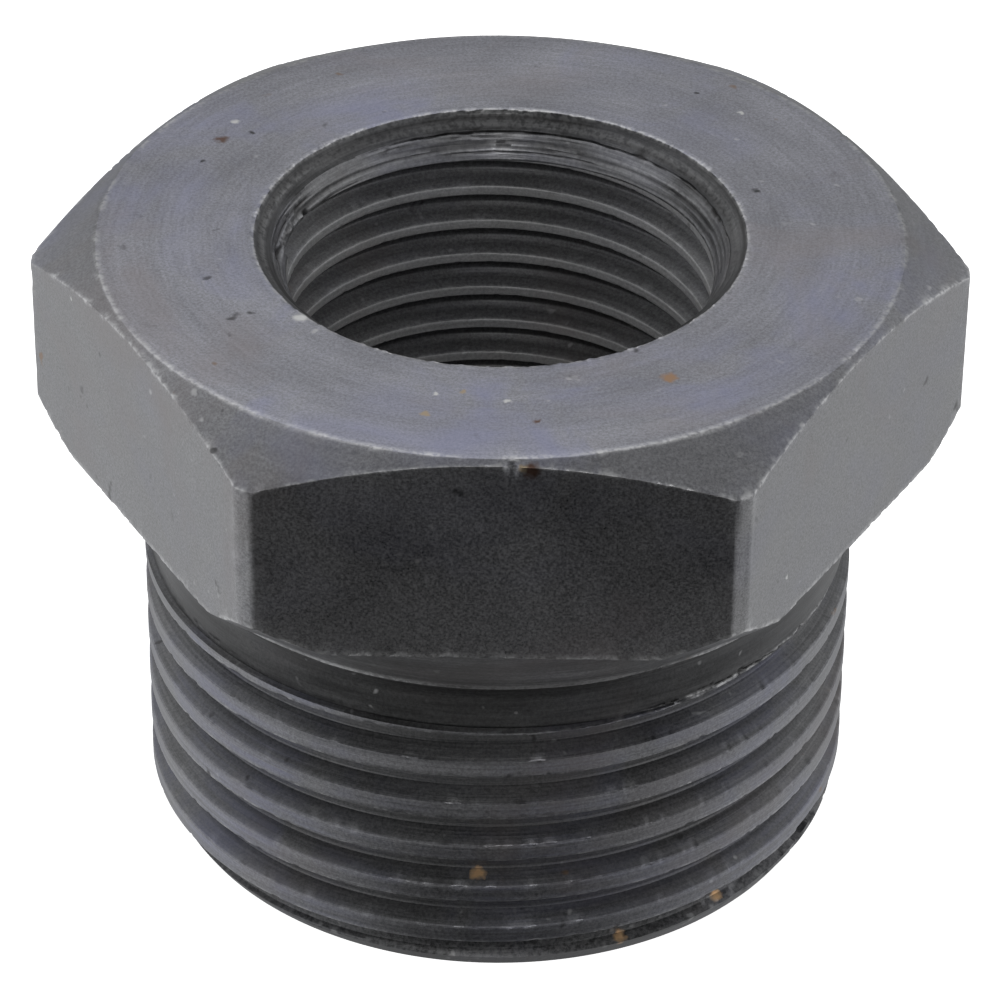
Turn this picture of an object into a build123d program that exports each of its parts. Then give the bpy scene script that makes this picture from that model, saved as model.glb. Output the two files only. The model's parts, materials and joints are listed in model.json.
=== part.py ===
from build123d import *
from math import atan2, cos, degrees, radians, tan
import os

os.makedirs("parts", exist_ok=True)

# Hexagon reducing bushing: male 1 inch pipe thread below, female 1/2 inch pipe thread above.
# Millimetres, +Z up. The origin is the centre of the lower end, where the male thread starts,
# and the hexagon head is on top. One wrench flat faces -Y, two hexagon corners lie on X.

# hexagon head
OVERALL_H = 29.1
HEX_H = 10.0
ACROSS_FLATS = 36.5
CORNER_D = 41.7  # the six corners are skimmed on the lathe
TOP_FACE_D = 35.8  # flat land inside the top chamfer
TOP_CHAMFER_DEG = 30.0
UNDER_CHAMFER_D = 39.0  # corner chamfer where it meets the underside

# flare and neck under the head
FLARE_TOP_D = 36.4
FLARE_FOOT_D = 32.3
FLARE_FOOT_Z = 16.0
FLARE_ROUND = 0.35
NECK_D = 31.9
NECK_TOP_Z = 15.45
NECK_END_Z = 13.7

# male thread, parallel, Whitworth pipe form, 11 threads per inch
MALE_CREST_D = 32.4
MALE_PITCH = 25.4 / 11
MALE_ROOT_D = 30.6
MALE_LAND = 1.0  # flat left on each crest, along the axis
MALE_ROOT_ROUND = 0.3
MALE_GROOVE_Z = 12.643  # height of the highest full groove, at the -Y side
MALE_GROOVE_AZ = -90.0
MALE_LEAVE_AZ = -20.0  # where the tool starts to leave the metal
MALE_LEAVE_DEG = 150.0  # how much of a turn it takes
END_D = 30.6
END_CHAMFER_H = 1.45

# female thread, same form, 14 threads per inch, tapped right through
BORE_D = 19.0
FEMALE_PITCH = 25.4 / 14
FEMALE_ROOT_D = 20.96
FEMALE_LAND = 0.49
FEMALE_ROOT_ROUND = 0.23
FEMALE_GROOVE_Z = 26.44  # height of the first groove, at the +Y side
FEMALE_START_AZ = 176.0  # where the tap takes hold
FEMALE_TURNS = 16
MOUTH_D = 21.9
MOUTH_CHAMFER_H = 0.7
SINK_D = 20.3
SINK_H = 1.85
LOWER_BREAK = 0.8  # chamfer at the lower end of the bore

HALF_ANGLE = tan(radians(27.5))
STAND_OUT = 0.35  # how far a groove cutter stands out of the metal


def form_plane(height, radius):
    """Plane of a groove's profile; local x points outwards, local y points up."""
    return Plane(origin=(radius, 0, height), x_dir=(1, 0, 0), z_dir=(0, -1, 0))


# ------------------------------------------------------------------ cutters of the male groove
male_r = MALE_CREST_D / 2
male_depth = (MALE_CREST_D - MALE_ROOT_D) / 2
male_half = (MALE_PITCH - MALE_LAND) / 2
male_tip = male_half - male_depth * HALF_ANGLE
male_back = male_half + STAND_OUT * HALF_ANGLE
male_low_z = MALE_GROOVE_Z - 6 * MALE_PITCH
male_high_z = MALE_GROOVE_Z + MALE_PITCH * (MALE_LEAVE_AZ - MALE_GROOVE_AZ) / 360

with BuildPart() as male_cutter:
    with BuildLine(Plane.XY.offset(male_low_z)) as male_path:
        Helix(pitch=MALE_PITCH, height=male_high_z - male_low_z, radius=male_r)
    with BuildSketch(form_plane(male_low_z, male_r)) as male_form:
        with BuildLine():
            Polyline(
                (STAND_OUT, -male_back),
                (-male_depth, -male_tip),
                (-male_depth, male_tip),
                (STAND_OUT, male_back),
                close=True,
            )
        make_face()
        fillet(male_form.vertices().group_by(Axis.X)[0], MALE_ROOT_ROUND)
    sweep(path=male_path.wires()[0], is_frenet=True)

# the tool backs out while the work still turns, so the groove climbs out of the neck
leave_h = MALE_PITCH * MALE_LEAVE_DEG / 360
leave_deg = degrees(atan2(male_depth + 0.2, leave_h))

with BuildPart() as leave_cutter:
    with BuildLine(Plane.XY.offset(male_high_z)) as leave_path:
        Helix(
            pitch=MALE_PITCH / cos(radians(leave_deg)),
            height=leave_h,
            radius=male_r,
            cone_angle=leave_deg,
        )
    with BuildSketch(form_plane(male_high_z, male_r)) as leave_form:
        with BuildLine():
            Polyline(
                (STAND_OUT, -male_back),
                (-male_depth, -male_tip),
                (-male_depth, male_tip),
                (STAND_OUT, male_back),
                close=True,
            )
        make_face()
        fillet(leave_form.vertices().group_by(Axis.X)[0], MALE_ROOT_ROUND)
    sweep(path=leave_path.wires()[0], is_frenet=True)

# ------------------------------------------------------------------ cutter of the female groove
bore_r = BORE_D / 2
female_depth = (FEMALE_ROOT_D - BORE_D) / 2
female_half = (FEMALE_PITCH - FEMALE_LAND) / 2
female_tip = female_half - female_depth * HALF_ANGLE
female_back = female_half + STAND_OUT * HALF_ANGLE
female_high_z = FEMALE_GROOVE_Z + FEMALE_PITCH * (FEMALE_START_AZ - 90) / 360
female_low_z = female_high_z - FEMALE_TURNS * FEMALE_PITCH

with BuildPart() as female_cutter:
    with BuildLine(Plane.XY.offset(female_low_z)) as female_path:
        Helix(pitch=FEMALE_PITCH, height=female_high_z - female_low_z, radius=bore_r)
    with BuildSketch(form_plane(female_low_z, bore_r)) as female_form:
        with BuildLine():
            Polyline(
                (-STAND_OUT, -female_back),
                (female_depth, -female_tip),
                (female_depth, female_tip),
                (-STAND_OUT, female_back),
                close=True,
            )
        make_face()
        fillet(female_form.vertices().group_by(Axis.X)[-1], FEMALE_ROOT_ROUND)
    sweep(path=female_path.wires()[0], is_frenet=True)

# ------------------------------------------------------------------ the bushing
corner_r = CORNER_D / 2
top_r = TOP_FACE_D / 2
under_r = UNDER_CHAMFER_D / 2
top_drop = (corner_r - top_r) * tan(radians(TOP_CHAMFER_DEG))
hex_low_z = OVERALL_H - HEX_H

with BuildPart() as bushing:
    # the turned blank: head, flare, neck, crest of the male thread and bore
    with BuildSketch(Plane.XZ) as section:
        with BuildLine():
            Polyline(
                (bore_r, LOWER_BREAK),
                (bore_r + LOWER_BREAK, 0),
                (END_D / 2, 0),
                (male_r, END_CHAMFER_H),
                (male_r, NECK_END_Z - 0.1),
                (NECK_D / 2, NECK_END_Z),
                (NECK_D / 2, NECK_TOP_Z),
                (FLARE_FOOT_D / 2, FLARE_FOOT_Z),
                (FLARE_TOP_D / 2, hex_low_z),
                (under_r, hex_low_z),
                (corner_r, hex_low_z + corner_r - under_r),
                (corner_r, OVERALL_H - top_drop),
                (top_r, OVERALL_H),
                (MOUTH_D / 2, OVERALL_H),
                (SINK_D / 2, OVERALL_H - MOUTH_CHAMFER_H),
                (bore_r, OVERALL_H - SINK_H),
                close=True,
            )
        make_face()
        foot = section.vertices().filter_by(lambda v: abs(v.Y - FLARE_FOOT_Z) < 0.01)
        fillet(foot, FLARE_ROUND)
    revolve(axis=Axis.Z)
    # the six wrench flats
    with BuildSketch(Plane.XY.offset(hex_low_z)):
        Circle(corner_r + 2)
        RegularPolygon(
            radius=ACROSS_FLATS / 2, side_count=6, major_radius=False, mode=Mode.SUBTRACT
        )
    extrude(amount=HEX_H + 1, mode=Mode.SUBTRACT)
    plain_volume = bushing.part.volume
    # both threads, each cutter turned to where its groove starts
    add(female_cutter.part, rotation=(0, 0, FEMALE_START_AZ), mode=Mode.SUBTRACT)
    add(male_cutter.part, rotation=(0, 0, MALE_GROOVE_AZ), mode=Mode.SUBTRACT)
    add(leave_cutter.part, rotation=(0, 0, MALE_LEAVE_AZ), mode=Mode.SUBTRACT)

bushing.part.label = "bushing_body"
print("bushing_body volume", round(bushing.part.volume, 1), "before threads", round(plain_volume, 1))
print("valid", bushing.part.is_valid, "solids", len(bushing.part.solids()))
print("faces", len(bushing.part.faces()), bushing.part.bounding_box())
assert bushing.part.is_valid
assert len(bushing.part.solids()) == 1

export_step(bushing.part, "parts/bushing_body.step")
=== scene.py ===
import json
import math

import bpy
import numpy as np
from mathutils import Matrix, Vector


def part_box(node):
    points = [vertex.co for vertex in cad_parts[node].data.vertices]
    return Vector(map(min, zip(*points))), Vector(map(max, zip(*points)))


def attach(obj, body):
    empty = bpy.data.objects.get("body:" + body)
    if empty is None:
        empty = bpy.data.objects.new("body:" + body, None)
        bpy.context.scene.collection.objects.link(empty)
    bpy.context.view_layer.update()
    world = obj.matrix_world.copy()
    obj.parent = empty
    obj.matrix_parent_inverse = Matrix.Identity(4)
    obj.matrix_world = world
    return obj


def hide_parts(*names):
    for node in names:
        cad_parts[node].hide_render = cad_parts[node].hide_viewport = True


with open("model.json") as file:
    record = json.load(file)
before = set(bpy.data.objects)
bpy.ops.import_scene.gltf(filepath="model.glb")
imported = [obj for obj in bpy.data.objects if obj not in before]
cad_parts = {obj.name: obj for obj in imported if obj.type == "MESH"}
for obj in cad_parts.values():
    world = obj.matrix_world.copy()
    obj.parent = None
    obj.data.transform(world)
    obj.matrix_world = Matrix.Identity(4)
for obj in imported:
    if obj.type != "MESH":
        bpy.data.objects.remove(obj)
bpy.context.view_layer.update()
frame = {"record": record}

# ---------------------------------------------------------------- sizes, in millimetres
MM = 0.001
box_low, box_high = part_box("bushing_body")
mounts = {m["name"]: m for m in frame["record"]["mounts"]}
TOP = (box_high.z - box_low.z) / MM
ACROSS_FLATS = (box_high.y - box_low.y) / MM
CORNER_R = (box_high.x - box_low.x) / MM / 2
MALE_R = mounts["male_thread"]["dims"]["r_mm"]
BORE_R = mounts["female_thread"]["dims"]["r_mm"]

HEX_LOW = TOP - 10.0
TOP_FACE_R = 17.9  # the flat ring on top ends here
TOP_SLOPE = math.tan(math.radians(30))
UNDER_R = 19.5  # the corner chamfer meets the underside here
FLARE_TOP_R = 18.2
FLARE_FOOT_R, FLARE_FOOT_Z = 16.15, 16.0
NECK_R, NECK_TOP_Z, NECK_END_Z = 15.95, 15.45, 13.7
END_R, END_CHAMFER_H = 15.3, 1.45  # lower end of the male thread
MOUTH_R = 10.95  # of the bore, in the top face
SINK_R, SINK_Z = 10.15, TOP - 0.7  # the mouth's chamfer meets the lead cone here
LEAD_Z = TOP - 1.85  # the lead cone ends here
LOWER_BREAK = 0.8  # on the bore's lower edge
EDGE_BREAK = 0.06  # along the lower edges of the wrench flats
INSIDE_R = 12.5  # anything nearer the axis belongs to the bore and its mouth
FAR = 9.0  # a distance that means "not near this edge at all"

# both threads: pitch, crest and root radius, width of the crest along the axis, height and azimuth of one
# groove, azimuth where the last turn ends, degrees over which it runs out, rounding of the edges
FLANK = math.tan(math.radians(27.5))
MALE = {"pitch": 25.4 / 11, "crest": MALE_R, "root": 15.3, "land": 0.8, "z": 12.745, "az": -90.0,
        "last_az": -20.0, "leave_deg": 150.0, "soft": 0.05}
FEMALE = {"pitch": 25.4 / 14, "crest": BORE_R, "root": 10.48, "land": 0.42, "z": 26.475, "az": 90.0,
          "last_az": 176.0, "leave_deg": 0.0, "soft": 0.07}
MALE_STRIP_TOP = 14.4  # helical rows of the mesh reach this high
ROOT_SOFTNESS = 0.16  # how far the bottom of a groove is rounded into its flanks


# ---------------------------------------------------------------- small tools
def lattice(ix, iy, iz, seed):
    """A repeatable number from 0 to 1 for every whole-number point."""
    h = ix * 73856093 + iy * 19349663 + iz * 83492791 + seed * 2654435761
    h = (h ^ (h >> 13)) * 1274126177 & 0xFFFFFFFF
    h = (h ^ (h >> 16)) * 2246822519 & 0xFFFFFFFF
    return ((h ^ (h >> 15)) & 0xFFFF) / 65535.0


def noise(points, size, seed):
    """Smooth noise from 0 to 1, with bumps of that size (one number, or one for each axis)."""
    q = points / np.asarray(size, float)
    base = np.floor(q).astype(np.int64)
    f = q - base
    f = f * f * (3 - 2 * f)
    total = np.zeros(len(points))
    for dx in (0, 1):
        for dy in (0, 1):
            for dz in (0, 1):
                weight = np.where(dx, f[:, 0], 1 - f[:, 0])
                weight = weight * np.where(dy, f[:, 1], 1 - f[:, 1])
                weight = weight * np.where(dz, f[:, 2], 1 - f[:, 2])
                total += weight * lattice(base[:, 0] + dx, base[:, 1] + dy, base[:, 2] + dz, seed)
    return total


def soft_min(a, b, k):
    """The smaller of two values, rounded over where they meet."""
    h = np.clip(0.5 + 0.5 * (b - a) / k, 0, 1)
    return b * (1 - h) + a * h - k * h * (1 - h)


def soft_max(a, b, k):
    return -soft_min(-a, -b, k)


def ramp(x, low, high):
    """0 below low, 1 above high, smooth between."""
    t = np.clip((x - low) / (high - low), 0, 1)
    return t * t * (3 - 2 * t)


def around(az, centre):
    """Degrees from centre to az, from -180 to 180."""
    return (az - centre + 180) % 360 - 180


# ------------------------------------------------------- the surfaces, as radius at (azimuth, height)
def groove_depth(thread, az, z):
    """How deep the groove's own surface is below the crest; 0 or less where there is no groove."""
    p = thread["pitch"]
    full = abs(thread["crest"] - thread["root"])
    half = (p - thread["land"]) / 2
    tip = half - full * FLANK
    best = np.full(np.shape(z), -FAR)
    first_turn = np.floor((z - thread["z"]) / p - (az - thread["az"]) / 360 + 0.5)
    for turn in (first_turn - 1, first_turn, first_turn + 1):
        unrolled = az + 360 * turn  # azimuth counted on along the groove
        centre = thread["z"] + p * (unrolled - thread["az"]) / 360
        depth = full - np.maximum(np.abs(z - centre) - tip, 0) / FLANK
        depth = soft_min(depth, np.full_like(depth, full - 0.02), ROOT_SOFTNESS)
        past = unrolled - thread["last_az"]
        if thread["leave_deg"]:
            depth = depth - np.clip(past, 0, None) / thread["leave_deg"] * (full + 0.2)
        else:
            depth = np.where(past > 0, -FAR, depth)
        best = np.maximum(best, depth)
    return best


def outer_blank(z):
    """Radius of the turned outside below the flare."""
    z_points = [0, END_CHAMFER_H, NECK_END_Z - 0.1, NECK_END_Z, NECK_TOP_Z]
    return np.interp(z, z_points, [END_R, MALE_R, MALE_R, NECK_R, NECK_R])


def outer_radius(az, z):
    blank = outer_blank(z)
    cut = MALE_R - groove_depth(MALE, az, z)
    return soft_min(blank, cut, MALE["soft"])


def inner_blank(z):
    """Radius of the bore with its lead cone and its lower break."""
    z_points = [0, LOWER_BREAK, LEAD_Z, SINK_Z]
    return np.interp(z, z_points, [BORE_R + LOWER_BREAK, BORE_R, BORE_R, SINK_R])


def inner_radius(az, z):
    blank = inner_blank(z)
    cut = BORE_R + groove_depth(FEMALE, az, z)
    return soft_max(blank, cut, FEMALE["soft"])


# ---------------------------------------------------------------- mesh rows
FLAT_HALF_DEG = math.degrees(math.acos(ACROSS_FLATS / 2 / CORNER_R))
# (from, to, step) in degrees: finest where the starts of the two threads are torn
COLUMN_STEPS = ((0, 120, 0.6), (120, 190, 0.3), (190, 290, 0.5), (290, 360, 0.25))


def column_angles():
    """Azimuths of the columns, with the ones nearest the upright edges of the hexagon moved on to them."""
    angles = np.concatenate([np.arange(round((b - a) / step)) * step + a for a, b, step in COLUMN_STEPS])
    for k in range(6):
        for side in (-1, 1):
            edge = (30 + 60 * k + side * FLAT_HALF_DEG) % 360
            angles[np.argmin(np.abs(around(angles, edge)))] = edge
    return angles


AZ = column_angles()
COLUMNS = len(AZ)
AZ_CLOSED = np.append(AZ, 360.0)


def helical_rows(thread, offsets, low, high, level_rows):
    """Heights of the rows over each column: rows that climb with the thread, and level ones, sorted."""
    p = thread["pitch"]
    turns = np.arange(math.floor((low - thread["z"]) / p) - 2, math.ceil((high - thread["z"]) / p) + 2)
    starts = (thread["z"] + p * turns[:, None] + np.asarray(offsets)[None, :]).ravel()
    climb = p * (AZ_CLOSED - thread["az"]) / 360
    climb = climb - p * math.floor(-thread["az"] / 360)
    rows = np.round(starts[:, None] + climb[None, :], 4)
    level = np.repeat(np.asarray(level_rows, float)[:, None], len(AZ_CLOSED), axis=1)
    rows = np.clip(np.concatenate([rows, level]), low, high)
    return np.sort(rows, axis=0)


def mirrored(values):
    """The values and their negatives, in order."""
    return sorted([-v for v in values if v] + list(values))


male_half = (MALE["pitch"] - MALE["land"]) / 2
male_offsets = mirrored([0, 0.14, 0.22, 0.31, 0.43, 0.55, male_half - 0.04, male_half, male_half + 0.05,
                         male_half + 0.14, male_half + 0.3]) + [MALE["pitch"] / 2]
female_half = (FEMALE["pitch"] - FEMALE["land"]) / 2
female_offsets = mirrored([0, 0.14, 0.24, 0.43, female_half - 0.07, female_half - 0.02, female_half + 0.03,
                           female_half + 0.09]) + [FEMALE["pitch"] / 2]

outer_z = helical_rows(MALE, male_offsets, 0.0, MALE_STRIP_TOP,
                       [0, END_CHAMFER_H - 0.05, END_CHAMFER_H, END_CHAMFER_H + 0.05, NECK_END_Z - 0.15,
                        NECK_END_Z - 0.1, NECK_END_Z - 0.05, NECK_END_Z, NECK_END_Z + 0.05, MALE_STRIP_TOP])
lead_rows = [LEAD_Z + rise for rise in (-0.05, 0, 0.05, 0.2, 0.35, 0.5, 0.65, 0.8, 0.95)]
inner_z = helical_rows(FEMALE, female_offsets, 0.0, SINK_Z,
                       [0, LOWER_BREAK - 0.05, LOWER_BREAK, LOWER_BREAK + 0.05] + lead_rows
                       + [SINK_Z - 0.13, SINK_Z - 0.08, SINK_Z - 0.04, SINK_Z])


def patch_of(radius_at, heights):
    """A grid of rows at those heights, as (radius, height)."""
    az_grid = np.repeat(np.mod(AZ_CLOSED, 360.0)[None, :], len(heights), axis=0)
    return radius_at(az_grid, heights), heights


outer_patch = patch_of(outer_radius, outer_z)
inner_patch = patch_of(inner_radius, inner_z)


def level(radius, height):
    """One row, the same all the way round."""
    ones = np.ones(len(AZ_CLOSED))
    return radius * ones, height * ones


def blend_rows(row_a, row_b, shares):
    """Rows between two rows, at those shares of the way."""
    return [(row_a[0] + (row_b[0] - row_a[0]) * s, row_a[1] + (row_b[1] - row_a[1]) * s) for s in shares]


def head_rows():
    """Rows from the neck up over the flare, underside, wrench flats, chamfer and top to the mouth."""
    flat_az = around(AZ_CLOSED, 30)
    from_normal = np.radians((flat_az + 30) % 60 - 30)
    wall = soft_min(ACROSS_FLATS / 2 / np.cos(from_normal), np.full(len(AZ_CLOSED), CORNER_R), 0.05)
    under = np.minimum(wall - EDGE_BREAK, UNDER_R)
    wall_low = HEX_LOW + np.maximum(wall - UNDER_R, EDGE_BREAK)
    wall_high = TOP - (wall - TOP_FACE_R) * TOP_SLOPE
    rows = [level(NECK_R, MALE_STRIP_TOP)]
    rows += blend_rows(level(NECK_R, MALE_STRIP_TOP), level(NECK_R, NECK_TOP_Z), (0.25, 0.5, 0.75, 1))
    rows += blend_rows(level(NECK_R, NECK_TOP_Z), level(FLARE_FOOT_R, FLARE_FOOT_Z),
                       (0.4, 0.6, 0.75, 0.85, 0.93, 1))
    rows += [level(FLARE_FOOT_R + 0.03, FLARE_FOOT_Z + 0.05), level(FLARE_FOOT_R + 0.07, FLARE_FOOT_Z + 0.11)]
    foot, top = level(FLARE_FOOT_R, FLARE_FOOT_Z), level(FLARE_TOP_R, HEX_LOW)
    rows += blend_rows(foot, top, (0.1, 0.2, 0.4, 0.6, 0.8, 0.94, 0.98, 1))
    seat_in, seat_out = level(FLARE_TOP_R, HEX_LOW), (under, np.full(len(under), HEX_LOW))
    rows += blend_rows(seat_in, seat_out, (0.5, 1))
    corner_low = (wall, wall_low)
    rows += blend_rows(seat_out, corner_low, (0.5, 1))
    upper = (wall, wall_high)
    shares = (0.008, 0.03, 0.1, 0.2, 0.3, 0.4, 0.5, 0.6, 0.7, 0.8, 0.9, 0.95, 0.98, 0.993)
    rows += blend_rows(corner_low, upper, shares)
    rows += [(wall - 0.014, wall_high - 0.0035)]  # the edge between flat and chamfer is worn
    shares = (0.03, 0.08, 0.2, 0.4, 0.6, 0.8, 0.93)
    rows += blend_rows(upper, level(TOP_FACE_R, TOP), shares)
    rows += [level(TOP_FACE_R - 0.02, TOP - 0.01)]
    rows += blend_rows(level(TOP_FACE_R, TOP), level(MOUTH_R, TOP),
                       (0.04, 0.12, 0.25, 0.4, 0.55, 0.7, 0.83, 0.92, 0.965, 0.985))
    rows += [level(MOUTH_R + 0.01, TOP - 0.02)]
    rows += blend_rows(level(MOUTH_R, TOP), level(SINK_R, SINK_Z),
                       (0.04, 0.1, 0.2, 0.35, 0.55, 0.75, 0.88, 0.93, 0.97, 1))
    return rows


# ---------------------------------------------------------------- one closed mesh from the rows
def stacked(rows):
    return np.array([r for r, z in rows]), np.array([z for r, z in rows])


def closed_mesh(patches):
    """Joins grids of (radius, height) rows into one surface. Rows meet where their numbers are the same."""
    coords = []
    faces = []
    column = np.arange(len(AZ_CLOSED)) % COLUMNS
    turn = np.radians(AZ_CLOSED[column])
    cos_az, sin_az = np.cos(turn), np.sin(turn)
    offset = 0
    keys = []
    for radius, height in patches:
        r_key = np.round(radius, 4)
        z_key = np.round(height, 4)
        keys.append(np.stack([np.broadcast_to(column, r_key.shape), np.round(r_key * 1e4),
                              np.round(z_key * 1e4)], axis=-1).reshape(-1, 3).astype(np.int64))
        coords.append(np.stack([r_key * cos_az, r_key * sin_az, z_key], axis=-1).reshape(-1, 3))
        rows, cols = radius.shape
        index = offset + np.arange(rows * cols).reshape(rows, cols)
        faces.append(np.stack([index[:-1, :-1], index[:-1, 1:], index[1:, 1:], index[1:, :-1]],
                              axis=-1).reshape(-1, 4))
        offset += rows * cols
    keys = np.concatenate(keys)
    coords = np.concatenate(coords)
    faces = np.concatenate(faces)
    packed = (keys[:, 0] * 10**7 + keys[:, 1]) * 10**7 + keys[:, 2]
    _, first, inverse = np.unique(packed, return_index=True, return_inverse=True)
    return coords[first], inverse.reshape(-1)[faces]


def drop_collapsed(quads):
    """Quads whose corners have merged become triangles, or go."""
    same_next = quads == np.roll(quads, -1, axis=1)
    merged = same_next.sum(axis=1)
    whole = quads[merged == 0]
    three = []
    for corner in range(4):
        hit = quads[(merged == 1) & same_next[:, corner]]
        three.append(np.delete(hit, corner, axis=1))
    three = np.concatenate(three)
    # folded quads (opposite corners merged) have no area and would leave a fin
    whole = whole[(whole[:, 0] != whole[:, 2]) & (whole[:, 1] != whole[:, 3])]
    three = three[(three[:, 0] != three[:, 1]) & (three[:, 1] != three[:, 2]) & (three[:, 0] != three[:, 2])]
    return whole, three


head = head_rows()  # its first and last row are taken from the two threaded strips
head[0] = (outer_patch[0][-1], outer_patch[1][-1])
head[-1] = (inner_patch[0][-1], inner_patch[1][-1])
lower_end = blend_rows((inner_patch[0][0], inner_patch[1][0]), (outer_patch[0][0], outer_patch[1][0]),
                       (0, 0.03, 0.3, 0.7, 0.97, 1))
inner_down = (inner_patch[0][::-1], inner_patch[1][::-1])
points, quads = closed_mesh([stacked(lower_end), outer_patch, stacked(head), inner_down])
quads, triangles = drop_collapsed(quads)
used = np.unique(np.concatenate([quads.ravel(), triangles.ravel()]))
renumber = np.zeros(len(points), np.int64)
renumber[used] = np.arange(len(used))
points, quads, triangles = points[used], renumber[quads], renumber[triangles]


def vertex_normals(points, quads, triangles):
    normals = np.zeros_like(points)
    for faces, a, b in ((quads, (0, 2), (1, 3)), (triangles, (0, 1), (0, 2))):
        cross = np.cross(points[faces[:, a[1]]] - points[faces[:, a[0]]],
                         points[faces[:, b[1]]] - points[faces[:, b[0]]])
        for corner in range(faces.shape[1]):
            np.add.at(normals, faces[:, corner], cross)
    return normals / np.maximum(np.linalg.norm(normals, axis=1), 1e-12)[:, None]


# ---------------------------------------------------------------- where each point lies
normals = vertex_normals(points, quads, triangles)
radius = np.hypot(points[:, 0], points[:, 1])
az = np.degrees(np.arctan2(points[:, 1], points[:, 0]))
turned_az = np.mod(az, 360)
height = points[:, 2]
outside = radius > INSIDE_R
in_bore = ~outside


def near(distance, width):
    """1 on the spot, falling off to 0 a little more than a width away."""
    return np.exp(-(distance / width) ** 2)


def patchy(size, seed, low, high):
    """0 or 1 in patches of that size; low and high are where the noise behind it starts and ends to count."""
    return ramp(noise(points, size, seed), low, high)


def along(scale, seed):
    """Noise from -0.5 to 0.5 that changes only with azimuth."""
    return noise(np.stack([az * scale, az * 0, az * 0], axis=1), 1.0, seed) - 0.5


# distance from each of the exposed edges
from_normal = np.radians((around(az, 30) + 30) % 60 - 30)
wall = np.minimum(ACROSS_FLATS / 2 / np.cos(from_normal), CORNER_R)
head_edge = np.abs(height - (TOP - (wall - TOP_FACE_R) * TOP_SLOPE))
head_edge = np.where(outside & (radius > wall - 0.4), head_edge, FAR)
wall_low = HEX_LOW + np.maximum(wall - UNDER_R, EDGE_BREAK)
seat_edge = np.where(outside, np.hypot(radius - wall, height - wall_low), FAR)
corner_edge = np.abs(np.abs(np.degrees(from_normal)) - FLAT_HALF_DEG) * math.radians(1) * CORNER_R
corner_edge = np.where(outside & (height > HEX_LOW) & (radius > wall - 0.3), corner_edge, FAR)
face_edge = np.where(outside, np.hypot(radius - TOP_FACE_R, height - TOP), FAR)
foot_edge = np.where(outside, np.abs(height - FLARE_FOOT_Z), FAR)
mouth_edge = np.hypot(radius - MOUTH_R, height - TOP)
in_male = outside & (height < NECK_END_Z + 0.3)
male_phase = (height - MALE["z"]) / MALE["pitch"] - (az - MALE["az"]) / 360
male_across = np.abs(male_phase - np.round(male_phase)) * MALE["pitch"]
above_groove = (male_phase - np.round(male_phase)) > 0
land_edge = np.where(in_male & (radius > NECK_R - 0.1), np.abs(male_across - male_half), FAR)
land_low_edge = land_edge + np.where(above_groove, 0.0, FAR)
female_phase = (height - FEMALE["z"]) / FEMALE["pitch"] - (az - FEMALE["az"]) / 360
female_across = np.abs(female_phase - np.round(female_phase)) * FEMALE["pitch"]
in_female = in_bore & (height < LEAD_Z) & (radius < BORE_R + 0.3)
female_edge = np.where(in_female, np.abs(female_across - female_half), FAR)

# ---------------------------------------------------------------- wear: nicks, torn thread starts, worn edges
shift = np.zeros(len(points))  # along the normal, in millimetres
# chips along the edges: edge, depth, reach, size of a patch, seed, and the two ends of patchy()
for edge, depth, reach, patch, seed, low, high in (
    (mouth_edge, 0.05, 0.08, 0.25, 11, 0.5, 0.8),
    (mouth_edge, -0.04, 0.08, 0.3, 12, 0.55, 0.8),
    (head_edge, 0.05, 0.08, 0.25, 13, 0.62, 0.8),
    (face_edge, 0.03, 0.08, 0.25, 18, 0.62, 0.8),
    (seat_edge, 0.05, 0.10, 0.3, 14, 0.5, 0.75),
    (corner_edge, 0.06, 0.3, 0.5, 15, 0.6, 0.85),
    (land_edge, 0.05, 0.08, (0.35, 0.35, 0.2), 16, 0.66, 0.85),
    (female_edge, 0.03, 0.08, 0.3, 17, 0.6, 0.85),
):
    shift -= depth * near(edge, reach) * patchy(patch, seed, low, high)

# the tool has left a fine lip at the flare's foot, with a hollow under it; the hollow's colour is darkened
# too, as painted shadow under the lip
on_foot = outside * (radius < FLARE_FOOT_R + 0.3)
foot_lip = near(height - (FLARE_FOOT_Z + 0.02), 0.06) * on_foot
foot_hollow = near(height - (FLARE_FOOT_Z - 0.14), 0.08) * on_foot
shift += 0.07 * foot_lip * patchy((2.0, 2.0, 0.5), 51, 0.1, 0.5) - 0.04 * foot_hollow

# a notch in the middle of the front edge
NOTCH_AZ, NOTCH_R, NOTCH_Z = -87.6, 18.2, TOP - 0.2
arc = around(az, NOTCH_AZ) * math.radians(1) * NOTCH_R
notch = np.sqrt(arc ** 2 + (radius - NOTCH_R) ** 2 + (0.6 * (height - NOTCH_Z)) ** 2)
shift -= 0.35 * near(notch, 0.20) * outside

# the edge of the last turn is ragged on one side of the lower end
ragged = ramp(az, -56, -40) * (1 - ramp(az, 6, 16)) * in_male * near(height - 1.5, 0.8)
shift -= 0.18 * ragged * patchy((0.7, 0.7, 0.4), 42, 0.50, 0.68)

# the sliver between the end of the neck and the top of the thread is torn: a crack that opens in places; the
# crack and its bites are also painted dark, as painted shade
tear_line = MALE["z"] + MALE["pitch"] * (around(az, -60) - 60 - MALE["az"]) / 360 + male_half + 0.10
crack_z = np.minimum(tear_line, NECK_END_Z + 0.12) + 0.12 * along(0.33, 21) + 0.06 * along(1.3, 22)
gaps = ramp(along(0.31, 23), -0.16, 0.10)
opened = ramp(az, -68, -56) * (1 - ramp(az, -6, 2)) * in_male
crack = opened * near(height - crack_z, 0.03 + 0.05 * gaps * ramp(az, -34, -20)) * (0.45 + 0.55 * gaps)
shift -= crack * (0.10 + 0.14 * gaps * ramp(az, -38, -24))
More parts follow.
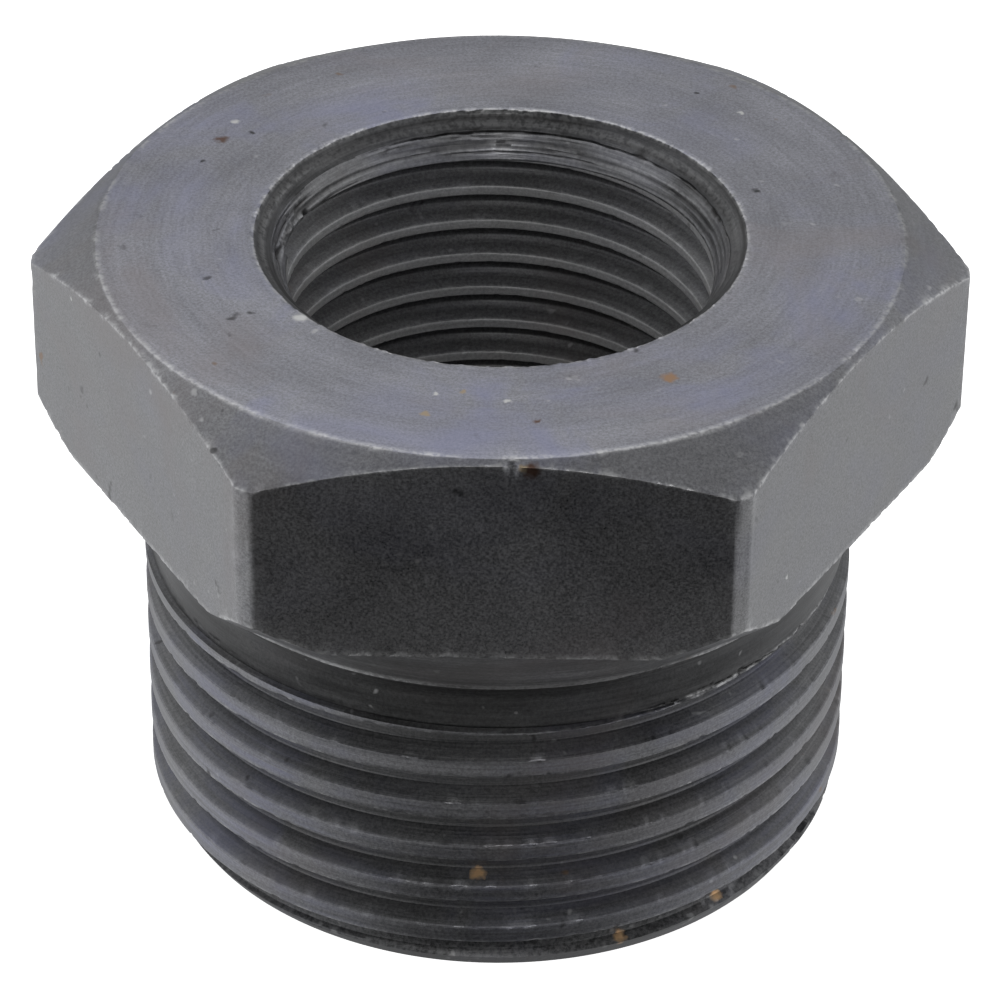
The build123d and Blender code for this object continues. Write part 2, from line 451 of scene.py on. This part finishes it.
# bites out of it: azimuth, half width in degrees, depth in mm
BITES = ((-47.0, 0.7, 0.14), (-31.5, 0.8, 0.22), (-20.0, 1.0, 0.30), (-13.0, 1.3, 0.34))
for bite_az, half_deg, deep in BITES:
    bite = near(around(az, bite_az), half_deg) * near(height - (crack_z - 0.05), 0.13) * in_male
    shift -= deep * bite
    crack = np.maximum(crack, bite)
sliver_lip = near(height - (tear_line - 0.12), 0.07) * in_male
sliver_lip = sliver_lip * ramp(az, -112, -66) * (1 - ramp(az, -30, -18))
shift += 0.05 * sliver_lip * patchy((0.5, 0.5, 0.3), 24, 0.35, 0.7)
torn_lip = opened * near(height - (crack_z - 0.14), 0.06)

# where the tap took hold the metal is torn too: two pits with a raised flap between them
flap_z = TOP - 1.50 + 0.010 * (turned_az - 157)
between = ramp(turned_az, 154, 158) * (1 - ramp(turned_az, 178, 182)) * in_bore
flap = between * near(height - flap_z - 0.10 * along(0.5, 26), 0.08)
pits = 0.8 * near(turned_az - 156.0, 1.3) * near(height - (TOP - 1.58), 0.12)
pits = np.maximum(pits, near(turned_az - 180.0, 3.0) * near(height - (TOP - 1.30), 0.22)) * in_bore
shift += 0.09 * flap * (0.6 + 0.8 * along(0.9, 25)) - 0.30 * pits
hatching = ramp(noise(np.stack([az * 0.16, az * 0, height * 9.0], axis=1), 1.0, 27), 0.52, 0.66)
hatching = hatching * between * near(height - (flap_z + 0.36), 0.22)
shift -= 0.05 * hatching

# circular scratches and polished bands left by the lead cone's tool
on_lead = in_bore * ramp(height, LEAD_Z - 0.1, LEAD_Z + 0.1) * (1 - ramp(height, TOP - 0.12, TOP - 0.04))
round_lines = np.stack([np.cos(np.radians(az)) * 0.8, np.sin(np.radians(az)) * 0.8, height * 11], axis=1)
scratch = on_lead * ramp(noise(round_lines, 1.0, 41), 0.50, 0.72)
polish = on_lead * ramp(noise(round_lines * [1, 1, 0.6], 1.0, 50), 0.50, 0.75)
shift -= 0.03 * scratch

# a torn line where the cone meets the mouth chamfer, and two blots on it
seam = in_bore * near(height - (SINK_Z - 0.05) + 0.07 * along(0.21, 28), 0.04)
seam = seam * ramp(around(az, 60), -100, -70) * (1 - ramp(around(az, 60), 50, 75)) * (0.45 + 0.55 * gaps)
small_blot = near(around(az, 52.0), 1.4) * near(height - SINK_Z, 0.13)
long_blot = near(around(az, 19.0), 4.0) * near(height - (SINK_Z - 0.12), 0.10) * patchy(0.25, 29, 0.35, 0.6)
seam = np.clip(seam + (small_blot + long_blot) * in_bore, 0, 1)
shift -= 0.09 * seam

points = points + normals * shift[:, None]

# how much bare metal colour shows: from wear, and as painted highlight on the male lands' lower edges, the
# flare's foot and the lower neck. The same columns as for the chips, with an amount in place of a depth
line, bump = 0.045, 0.07  # reach of a worn line, and how much wider it is at a bump
wear_and_highlight = np.zeros(len(points))
for edge, amount, reach, patch, seed, low, high in (
    (mouth_edge, 0.75, 0.09, 0.4, 31, 0.2, 0.6),
    (head_edge, 0.85, line + bump * patchy(0.5, 45, 0.6, 0.8), 0.9, 32, 0.2, 0.55),
    (face_edge, 0.75, line + bump * patchy(0.5, 44, 0.6, 0.8), 0.9, 36, 0.2, 0.55),
    (seat_edge, 0.9, 0.10 + 0.10 * patchy(0.5, 46, 0.5, 0.8), 0.7, 33, 0.15, 0.5),
    (corner_edge, 0.22, 0.35, 0.8, 34, 0.3, 0.7),
    # painted highlight: the lower edges of the male lands get far more bare metal than their upper edges,
    # partly wear and partly a painted highlight of the bright line along them
    (land_low_edge, 0.60, 0.06, (0.45, 0.45, 0.25), 35, 0.30, 0.60),
    (land_edge, 0.10, 0.06, (0.9, 0.9, 0.3), 47, 0.35, 0.7),
    (female_edge, 0.30, 0.05, (0.5, 0.5, 0.25), 38, 0.4, 0.7),
):
    wear_and_highlight += amount * near(edge, reach) * patchy(patch, seed, low, high)
# painted highlight: the flare's foot is painted bright in two places where it catches the side lights, and
# the neck is painted a little lighter towards the thread, standing in for it coming out of the shade under
# the flare
foot_highlight = 0.25 + 0.9 * near(around(az, -114), 16) + 0.9 * near(around(az, -62), 13)
wear_and_highlight += 1.1 * near(foot_edge, 0.11) * foot_highlight * patchy((1.2, 1.2, 0.5), 37, 0.05, 0.4)
neck_low = outside * (height > NECK_END_Z - 0.1) * (radius < NECK_R + 0.1)
neck_low = neck_low * ramp(height, NECK_TOP_Z - 0.5, NECK_END_Z)
wear_and_highlight += 0.05 * neck_low * patchy((1.5, 1.5, 0.15), 49, 0.3, 0.7)
wear_and_highlight += 0.35 * sliver_lip * patchy((0.6, 0.6, 0.3), 39, 0.3, 0.6)
wear_and_highlight += 0.45 * torn_lip * patchy((0.5, 0.5, 0.3), 48, 0.3, 0.6)
wear_and_highlight += 0.22 * polish
wear_and_highlight += 0.35 * flap * patchy(0.4, 40, 0.3, 0.6)
# how dark each crevice is painted: dark marks in the pits, seam, hatching and scratches, and painted shade in
# the crack and in the hollow under the flare's foot lip
soot_and_shade = crack + pits + 0.5 * foot_hollow + 0.9 * seam + 0.6 * hatching + 0.5 * scratch

# ---------------------------------------------------------------- the mesh object
mesh = bpy.data.meshes.new("bushing")
loops = np.concatenate([quads.ravel(), triangles.ravel()])
sizes = np.concatenate([np.full(len(quads), 4), np.full(len(triangles), 3)])
mesh.vertices.add(len(points))
mesh.vertices.foreach_set("co", (points * MM + [0, 0, box_low.z]).astype(np.float32).ravel())
mesh.loops.add(len(loops))
mesh.loops.foreach_set("vertex_index", loops.astype(np.int32))
mesh.polygons.add(len(sizes))
mesh.polygons.foreach_set("loop_start", (np.cumsum(sizes) - sizes).astype(np.int32))
for name, values in (("wear_and_highlight", wear_and_highlight), ("soot_and_shade", soot_and_shade)):
    layer = mesh.attributes.new(name, "FLOAT", "POINT")
    layer.data.foreach_set("value", np.clip(values, 0, 1).astype(np.float32))
mesh.update(calc_edges=True)
mesh.validate()
mesh.shade_smooth()
mesh.set_sharp_from_angle(angle=math.radians(40))
bushing = bpy.data.objects.new("bushing", mesh)
bpy.context.scene.collection.objects.link(bushing)
print("mesh", len(points), "points", len(sizes), "faces")

# ---------------------------------------------------------------- materials
class Tree:
    """Short calls for building a node tree."""

    def __init__(self, material):
        material.use_nodes = True
        self.nodes = material.node_tree.nodes
        self.links = material.node_tree.links
        self.nodes.clear()

    def put(self, socket, value):
        if isinstance(value, bpy.types.NodeSocket):
            self.links.new(value, socket)
        elif value is not None:
            socket.default_value = value

    def add(self, kind, *values, **settings):
        node = self.nodes.new(kind)
        named = settings.pop("named", {})
        for key, value in settings.items():
            setattr(node, key, value)
        for socket, value in zip(node.inputs, values):
            self.put(socket, value)
        for key, value in named.items():
            self.put(node.inputs[key], value)
        return node

    def math(self, operation, a, b=None, c=None, clamp=False):
        node = self.add("ShaderNodeMath", a, b, c, operation=operation, use_clamp=clamp)
        return node.outputs[0]

    def vector(self, x, y, z):
        return self.add("ShaderNodeCombineXYZ", x, y, z).outputs[0]

    def noise(self, vector, scale, detail=2.0, rough=0.5, distortion=0.0):
        node = self.add("ShaderNodeTexNoise", named={
            "Vector": vector, "Scale": scale, "Detail": detail, "Roughness": rough, "Distortion": distortion})
        return node.outputs["Fac"]

    def ramp(self, value, low, high, out_low=0.0, out_high=1.0):
        node = self.add("ShaderNodeMapRange", value, low, high, out_low, out_high)
        node.clamp = True
        return node.outputs[0]

    def mix(self, share, a, b):
        node = self.add("ShaderNodeMix", data_type="RGBA")
        self.put(node.inputs["Factor"], share)
        self.put(node.inputs["A"], a)
        self.put(node.inputs["B"], b)
        return node.outputs["Result"]

    def attribute(self, name):
        return self.add("ShaderNodeAttribute", attribute_name=name).outputs["Fac"]


def grey(level, blue=0.0):
    return (level * (1 - blue * 0.35), level * (1 - blue * 0.25), level * (1 + blue), 1.0)


BUMP_DEPTH = 0.00001  # metres
MARK_SPREAD = 1.15  # a mark fades out at this many times its size
BARE_AND_HIGHLIGHT, PIT_AND_SHADE, RUST = (0.52, 0.52, 0.52, 1.0), (0.018, 0.016, 0.015, 1.0), (0.20, 0.14, 0.10, 1.0)


def blackened_steel(name, tone, blue, roughness, grain, grain_mm, turning, metallic=0.85,
                    pitch=None, tinted=1.0, flecks=0.0, marks=()):
    """Blackened steel. grain is the speckle of the skin, turning the strength of the lathe marks.

    With a pitch, the lathe marks follow a thread. tinted is the strength of the temper colours, and flecks
    brings more chips and rust. marks are single spots: place and size in mm, colour.
    """
    material = bpy.data.materials.new(name)
    t = Tree(material)
    place = t.add("ShaderNodeTexCoord").outputs["Object"]
    split = t.add("ShaderNodeSeparateXYZ", place)
    x, y, z = split.outputs
    r = t.math("SQRT", t.math("ADD", t.math("MULTIPLY", x, x), t.math("MULTIPLY", y, y)))
    round_x, round_y = t.math("DIVIDE", x, r), t.math("DIVIDE", y, r)
    # patches of oxide follow the turning: long round the axis, short across it
    if pitch:
        phase = t.math("SUBTRACT", t.math("MULTIPLY", z, 2 * math.pi / (pitch * MM)),
                       t.math("ARCTAN2", x, t.math("MULTIPLY", y, -1.0)))
        turn_x, turn_y = t.math("COSINE", phase), t.math("SINE", phase)

        def marks_of_tool(fineness, detail):
            place_on_turn = t.vector(t.math("MULTIPLY", turn_x, fineness),
                                     t.math("MULTIPLY", turn_y, fineness),
                                     t.math("MULTIPLY", round_x, 0.9))
            along_axis = t.math("ADD", t.math("MULTIPLY", round_y, 0.9), t.math("MULTIPLY", z, 150.0))
            node = t.add("ShaderNodeTexNoise", noise_dimensions="4D", named={
                "Vector": place_on_turn, "W": along_axis, "Scale": 1.0, "Detail": detail, "Roughness": 0.65})
            return node.outputs["Fac"]

        streaks, lines = marks_of_tool(1.6, 3.0), marks_of_tool(6.0, 2.0)
    else:
        across = t.math("ADD", r, z)
        streaks = t.noise(t.vector(t.math("MULTIPLY", round_x, 1.6), t.math("MULTIPLY", round_y, 1.6),
                                   t.math("MULTIPLY", across, 420.0)), 1.0, 4.0, 0.6)
        lines = t.noise(t.vector(t.math("MULTIPLY", round_x, 3.0), t.math("MULTIPLY", round_y, 3.0),
                                 t.math("MULTIPLY", across, 5200.0)), 1.0, 3.0, 0.7)
    blotch = t.noise(place, 130.0, 5.0, 0.62, 0.6)
    speck = t.noise(place, 1000.0 / grain_mm, 4.0, 0.8)
    fine = t.noise(place, 3600.0 / grain_mm, 1.0, 0.6)
    crumbs = t.ramp(t.noise(place, 4200.0, 1.0, 0.6), 0.38, 0.58, 0.25, 1.0)
    wear_and_highlight = t.math("MULTIPLY", t.attribute("wear_and_highlight"), crumbs)
    soot_and_shade = t.attribute("soot_and_shade")

    shade = t.ramp(blotch, 0.30, 0.70, 0.88, 1.12)
    shade = t.math("MULTIPLY", shade, t.ramp(streaks, 0.3, 0.7, 1 - 0.12 * turning, 1 + 0.12 * turning))
    shade = t.math("MULTIPLY", shade, t.ramp(lines, 0.3, 0.7, 1 - 0.09 * turning, 1 + 0.09 * turning))
    shade = t.math("MULTIPLY", shade, t.ramp(speck, 0.38, 0.62, 1 - grain, 1 + grain))
    base = t.add("ShaderNodeVectorMath", grey(tone, blue)[:3], operation="SCALE",
                 named={"Scale": shade}).outputs[0]
    # blue and brown temper tints
    tint = t.noise(place, 150.0, 3.0, 0.6, 0.8)
    in_streaks = t.ramp(streaks, 0.40, 0.60, 0.1 * tinted, 0.45 * tinted)
    base = t.mix(t.math("MULTIPLY", t.ramp(tint, 0.45, 0.65), in_streaks), base,
                 grey(tone * 1.02, blue + 0.35))
    base = t.mix(t.ramp(t.noise(place, 90.0, 4.0, 0.6, 1.0), 0.52, 0.70, 0.0, 0.40), base,
                 (tone * 0.98, tone * 0.86, tone * 0.84, 1.0))
    # pale specks where the skin is knocked through, bare metal where it is worn and as painted highlight,
    # dark pits, dark crevices that are partly painted shade, and a few rust spots
    chips = t.math("MULTIPLY", t.ramp(t.noise(place, 1500.0, 1.0, 0.5), 0.72 - flecks, 0.80 - flecks),
                   t.ramp(t.noise(place, 210.0, 1.0, 0.5), 0.46, 0.60))
    bare_and_highlight = t.math("MAXIMUM", wear_and_highlight, t.math("MULTIPLY", chips, 0.5))
    base = t.mix(bare_and_highlight, base, BARE_AND_HIGHLIGHT)
    dark = t.math("MULTIPLY", t.ramp(t.noise(place, 900.0, 2.0, 0.6), 0.68, 0.76, 0.0, 0.7),
                  t.ramp(t.noise(place, 120.0, 1.0, 0.5), 0.45, 0.62))
    base = t.mix(t.math("MAXIMUM", dark, t.math("MULTIPLY", soot_and_shade, 0.85)), base, PIT_AND_SHADE)
    rust = t.math("MULTIPLY", t.ramp(t.noise(place, 620.0, 2.0, 0.6), 0.72 - flecks, 0.77 - flecks),
                  t.ramp(t.noise(place, 60.0, 0.0, 0.5), 0.52, 0.60))
    base = t.mix(rust, base, RUST)
    if marks:  # their outlines are made uneven first
        wobble = t.add("ShaderNodeTexNoise", named={"Vector": place, "Scale": 2600.0, "Detail": 2.0})
        astray = t.add("ShaderNodeVectorMath", wobble.outputs["Color"], (0.5, 0.5, 0.5),
                       operation="SUBTRACT").outputs[0]
        astray = t.add("ShaderNodeVectorMath", astray, operation="SCALE", named={"Scale": 0.0005}).outputs[0]
        blurred = t.add("ShaderNodeVectorMath", place, astray, operation="ADD").outputs[0]
        for spot, size, colour in marks:
            reach = MARK_SPREAD * size
            centre = tuple(v * MM for v in spot)
            away = t.add("ShaderNodeVectorMath", blurred, centre, operation="DISTANCE")
            share = t.ramp(away.outputs["Value"], reach * MM, 0.45 * reach * MM, 0.0, 0.9)
            base = t.mix(share, base, colour)

    gloss = t.ramp(blotch, 0.3, 0.7, roughness - 0.04, roughness + 0.05)
    gloss = t.math("ADD", gloss, t.ramp(speck, 0.3, 0.7, -0.3 * grain, 0.3 * grain))
    gloss = t.math("ADD", gloss, t.math("MULTIPLY", soot_and_shade, 0.3))
    gloss = t.math("SUBTRACT", gloss, t.math("MULTIPLY", wear_and_highlight, 0.08), clamp=True)

    bump_turning = t.add("ShaderNodeBump", named={
        "Strength": min(1.0, 0.5 * turning), "Distance": BUMP_DEPTH, "Height": lines})
    bump_grain = t.add("ShaderNodeBump", named={
        "Strength": min(0.6, 1.6 * grain), "Distance": BUMP_DEPTH,
        "Height": t.math("ADD", speck, t.math("MULTIPLY", fine, 0.5)), "Normal": bump_turning.outputs[0]})
    shader = t.add("ShaderNodeBsdfPrincipled", named={
        "Base Color": base, "Metallic": metallic, "Roughness": gloss, "Normal": bump_grain.outputs[0]})
    out = t.add("ShaderNodeOutputMaterial")
    t.links.new(shader.outputs[0], out.inputs[0])
    return material


# single spots that handling and weather have left: place and size in mm, colour
WHITE, TAN, CRUMB = (0.55, 0.55, 0.54, 1.0), (0.34, 0.27, 0.18, 1.0), (0.80, 0.52, 0.28, 1.0)
BROWN, BLACK = (0.10, 0.05, 0.03, 1.0), (0.02, 0.02, 0.02, 1.0)
OCHRE = (0.30, 0.18, 0.10, 1.0)
TOP_MARKS = [((x, y, TOP), size, colour) for x, y, size, colour in (
    (-12.3, 9.4, 0.20, WHITE), (-12.8, 7.8, 0.32, BROWN), (-11.5, 8.4, 0.20, BLACK),
    (-13.5, 5.8, 0.16, BLACK), (-8.45, -7.3, 0.34, WHITE), (7.3, -11.6, 0.40, OCHRE),
    (-2.9, -14.6, 0.22, TAN), (-2.5, -13.1, 0.16, WHITE), (-1.4, -12.9, 0.18, TAN),
    (0.5, -13.6, 0.16, WHITE), (1.7, -15.1, 0.18, BROWN), (11.4, 3.9, 0.20, BLACK),
    (10.9, 10.9, 0.18, WHITE), (8.9, 12.7, 0.16, BLACK))]
FLAT_MARKS = [((1.6, -18.25, TOP - 0.4), 0.42, BROWN), ((1.2, -18.25, TOP - 0.25), 0.26, TAN),
              ((12.5, -14.8, 21.2), 0.11, WHITE), ((-18.7, -4.1, 27.9), 0.16, WHITE)]
THREAD_MARKS = [((-0.6, -15.6, 5.4), 0.34, CRUMB), ((5.8, -14.4, 0.9), 0.34, CRUMB),
                ((10.2, -11.6, 1.1), 0.30, CRUMB)]

# one material for each zone: tone, blue, roughness, grain, grain in mm, turning
ON_MALE = {"pitch": MALE["pitch"], "marks": THREAD_MARKS}
ON_FEMALE = {"pitch": FEMALE["pitch"]}
ZONES = [
    blackened_steel("turned_top", 0.25, 0.08, 0.42, 0.24, 0.13, 1.1, marks=TOP_MARKS),
    blackened_steel("bar_skin", 0.213, 0.01, 0.38, 0.34, 0.10, 0.0, metallic=0.95, tinted=0.3, flecks=-0.02,
                    marks=FLAT_MARKS),
    # painted shade: the neck is given a far darker tone than the flare of the same turned steel, standing in
    # for the shade under the flare
    blackened_steel("turned_neck_painted_shade", 0.055, 0.0, 0.38, 0.25, 0.16, 3.0, metallic=0.95, tinted=0.2),
    blackened_steel("male_land", 0.185, 0.03, 0.38, 0.26, 0.14, 2.0, metallic=0.9, **ON_MALE),
    blackened_steel("male_groove", 0.135, 0.01, 0.42, 0.25, 0.14, 2.0, metallic=0.98, **ON_MALE),
    blackened_steel("female_groove", 0.16, 0.01, 0.45, 0.30, 0.14, 1.2, metallic=0.7, tinted=0.3, flecks=0.05,
                    **ON_FEMALE),
    blackened_steel("chamfer_skin", 0.205, 0.03, 0.43, 0.26, 0.13, 1.0, marks=FLAT_MARKS),
    blackened_steel("lead_cone", 0.19, 0.01, 0.38, 0.20, 0.2, 3.5, tinted=0.5),
    blackened_steel("mouth_chamfer", 0.07, 0.01, 0.38, 0.20, 0.2, 5.0, tinted=0.3),
    blackened_steel("female_land", 0.36, 0.0, 0.42, 0.20, 0.14, 1.0, metallic=0.15, tinted=0.2, **ON_FEMALE),
    blackened_steel("lower_edge", 0.12, 0.01, 0.42, 0.45, 0.2, 1.5, tinted=0.3, flecks=0.06,
                    marks=THREAD_MARKS),
    blackened_steel("flare", 0.22, 0.0, 0.38, 0.25, 0.16, 3.0, tinted=0.2),
]
for material in ZONES:
    mesh.materials.append(material)


def face_means(values):
    total = np.add.reduceat(values[loops], np.cumsum(sizes) - sizes)
    return total / sizes


face_r = face_means(radius)
face_z = face_means(height)
outer = face_r > INSIDE_R
on_cone = face_z > TOP - (face_r - TOP_FACE_R) * TOP_SLOPE - 0.02
tapped = ~outer & (face_z <= LEAD_Z - 0.05)
threaded = outer & (face_z < NECK_END_Z)
number_of = {material.name: number for number, material in enumerate(ZONES)}
zone = np.full(len(sizes), number_of["turned_neck_painted_shade"])
# each line takes faces over from the lines above it
for name, chosen in (
    ("flare", outer & (face_z > FLARE_FOOT_Z)),
    ("bar_skin", outer & (face_z > HEX_LOW - 0.01)),
    ("chamfer_skin", (face_z > HEX_LOW + 0.5) & on_cone),
    ("lead_cone", ~outer & (face_z > LEAD_Z - 0.05)),
    ("mouth_chamfer", ~outer & (face_z > SINK_Z - 0.02)),
    ("female_groove", tapped),
    ("female_land", tapped & (face_r < BORE_R + 0.06)),
    ("turned_top", (face_r > MOUTH_R - 0.02) & (face_r < TOP_FACE_R + 0.02) & (face_z > TOP - 0.1)),
    ("male_groove", threaded),
    ("male_land", threaded & (face_r > MALE_R - 0.06)),
    ("lower_edge", outer & (face_z < END_CHAMFER_H - 0.1)),
):
    zone[chosen] = number_of[name]
mesh.polygons.foreach_set("material_index", zone.astype(np.int32))
mesh.update()

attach(bushing, "root")
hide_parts("bushing_body")

# ---------------------------------------------------------------- floor
floor_mesh = bpy.data.meshes.new("floor")
FLOOR, FLOOR_GAP = 4.0, 0.00002  # metres: half its side, and how far it is below the object
corners = [(-FLOOR, -FLOOR), (FLOOR, -FLOOR), (FLOOR, FLOOR), (-FLOOR, FLOOR)]
floor_mesh.from_pydata([(cx, cy, box_low.z - FLOOR_GAP) for cx, cy in corners], [], [(0, 1, 2, 3)])
floor = bpy.data.objects.new("floor", floor_mesh)
bpy.context.scene.collection.objects.link(floor)
paper = bpy.data.materials.new("paper")
t = Tree(paper)
weave = t.noise(t.add("ShaderNodeTexCoord").outputs["Object"], 40.0, 3.0)
shader = t.add("ShaderNodeBsdfPrincipled", named={
    "Base Color": t.mix(weave, (0.80, 0.80, 0.80, 1), (0.82, 0.82, 0.82, 1)), "Roughness": 0.9,
    "Emission Color": (1, 1, 1, 1), "Emission Strength": 0.95, "Specular IOR Level": 0.0})
t.links.new(shader.outputs[0], t.add("ShaderNodeOutputMaterial").inputs[0])
floor_mesh.materials.append(paper)
floor.visible_glossy = False
floor.visible_diffuse = False

# ---------------------------------------------------------------- light
# a studio with bright walls behind, on the left and on the right, and a dark side behind the camera
world = bpy.data.worlds.new("studio")
bpy.context.scene.world = world
world.use_nodes = True
w = Tree(world)
direction = w.add("ShaderNodeSeparateXYZ", w.add("ShaderNodeTexCoord").outputs["Generated"]).outputs
back = w.ramp(direction[1], -0.55, 0.35, 0.05, 0.46)
left = w.ramp(w.math("MULTIPLY", direction[0], -1.0), 0.3, 0.8, 0.0, 0.74)
right = w.ramp(direction[0], 0.3, 0.8, 0.0, 0.60)
above = w.math("MULTIPLY", w.ramp(direction[2], 0.45, 0.75, 0.0, 0.06), w.ramp(direction[1], 0.1, -0.3))
light = w.math("ADD", w.math("ADD", back, above), w.math("ADD", left, right))
background = w.add("ShaderNodeBackground", (0.97, 0.98, 1.0, 1.0), light)
w.links.new(background.outputs[0], w.add("ShaderNodeOutputWorld").inputs[0])


def soft_lamp(name, place_mm, size_mm, watts, aim=(0, 0, 15)):
    """A rectangular lamp that the camera does not see. aim is the point it faces, in mm."""
    lamp = bpy.data.lights.new(name, "AREA")
    lamp.shape = "RECTANGLE"
    lamp.size, lamp.size_y = size_mm[0] * MM, size_mm[1] * MM
    lamp.energy = watts
    holder = bpy.data.objects.new(name, lamp)
    holder.location = Vector(place_mm) * MM
    holder.rotation_euler = (Vector(place_mm) - Vector(aim)).to_track_quat("Z", "Y").to_euler()
    bpy.context.scene.collection.objects.link(holder)
    holder.visible_camera = False
    return holder


soft_lamp("overhead", (-60, 260, 420), (350, 300), 0.4)
soft_lamp("front_card", (0, -31, 2.5), (90, 5), 0.0008, aim=(0, -16, 12))
soft_lamp("bore_lamp", (0, -215, 245), (80, 80), 0.125, aim=(0, 0, 25))

# ---------------------------------------------------------------- camera
YAW, PITCH, ROLL = math.radians(0.567), math.radians(34.395), math.radians(-0.58)
CAMERA_FROM_TOP = Vector((1.94, -186.46, 113.32)) * MM  # from the centre of the top face
LENS, SENSOR = 177.4, 36.0
ahead = Vector((0, math.cos(PITCH), -math.sin(PITCH)))
upward = Vector((0, math.sin(PITCH), math.cos(PITCH)))
right = Vector((1, 0, 0))
turn = Matrix.Rotation(YAW, 3, "Z")
ahead, upward, right = turn @ ahead, turn @ upward, turn @ right
right, upward = (math.cos(ROLL) * right - math.sin(ROLL) * upward,
                 math.sin(ROLL) * right + math.cos(ROLL) * upward)
lens = bpy.data.cameras.new("camera")
lens.lens, lens.sensor_width, lens.clip_start = LENS, SENSOR, 0.01
camera = bpy.data.objects.new("camera", lens)
pose = Matrix((right, upward, -ahead)).transposed().to_4x4()
pose.translation = Vector((0, 0, box_high.z)) + CAMERA_FROM_TOP
camera.matrix_world = pose
bpy.context.scene.collection.objects.link(camera)
bpy.context.scene.camera = camera
bpy.context.scene.view_settings.view_transform = "Standard"
